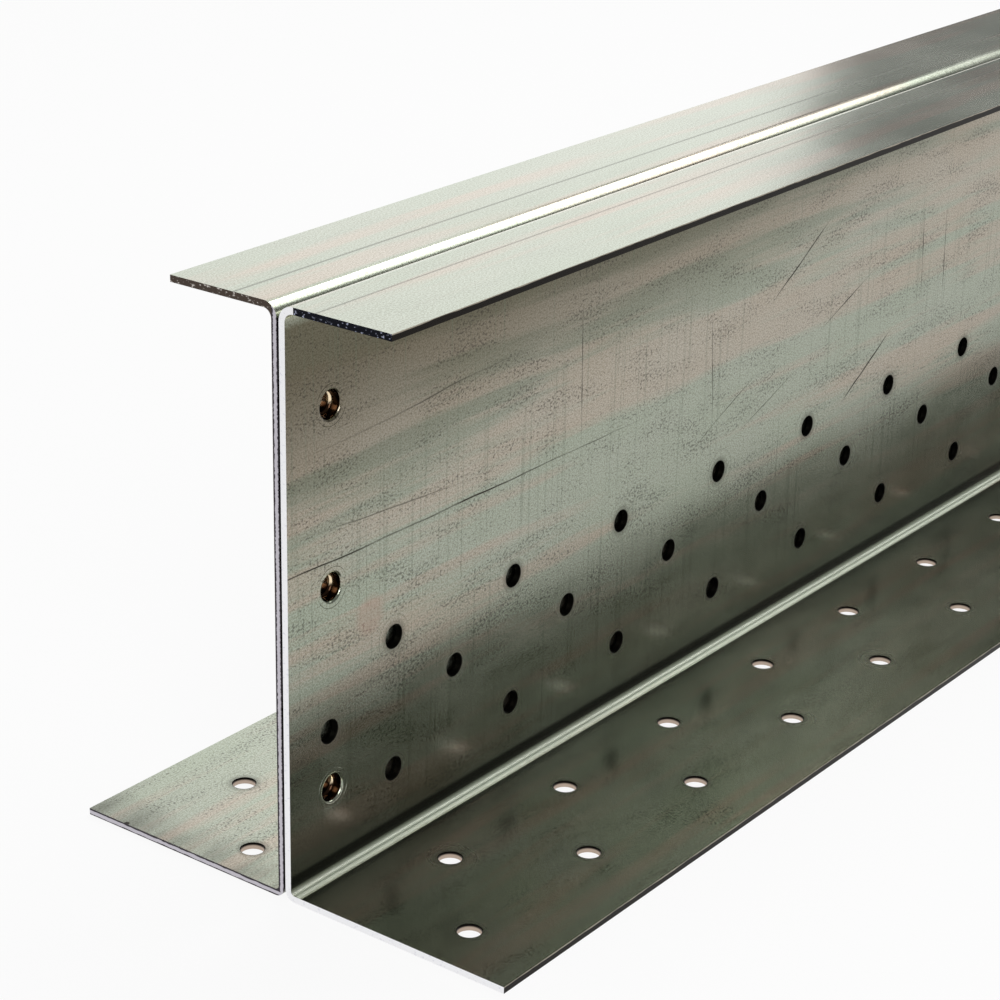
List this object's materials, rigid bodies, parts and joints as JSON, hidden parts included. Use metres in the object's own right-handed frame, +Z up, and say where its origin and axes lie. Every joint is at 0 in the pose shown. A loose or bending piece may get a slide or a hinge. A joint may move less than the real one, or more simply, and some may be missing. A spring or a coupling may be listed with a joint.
{
  "type": "steel lintel",
  "caption": "I-shaped steel lintel of two folded galvanised channels pressed together back to back, narrow top and wide bottom flanges, staggered round holes.",
  "frame": {"origin": "on the underside, midway along, in the mid-plane between the two webs", "axes": "+Y along the lintel, +Z up from the bearing face to the narrow top flanges, +X towards the right channel"},
  "size_m": [0.1986, 1.2, 0.225],
  "materials": {
    "galvanised_steel": "bright hot-dip galvanised sheet, folded and punched, sheared ends bare"
  },
  "bodies": {
    "root": {"right_channel": "galvanised_steel", "left_channel": "galvanised_steel"}
  },
  "joints": []
}
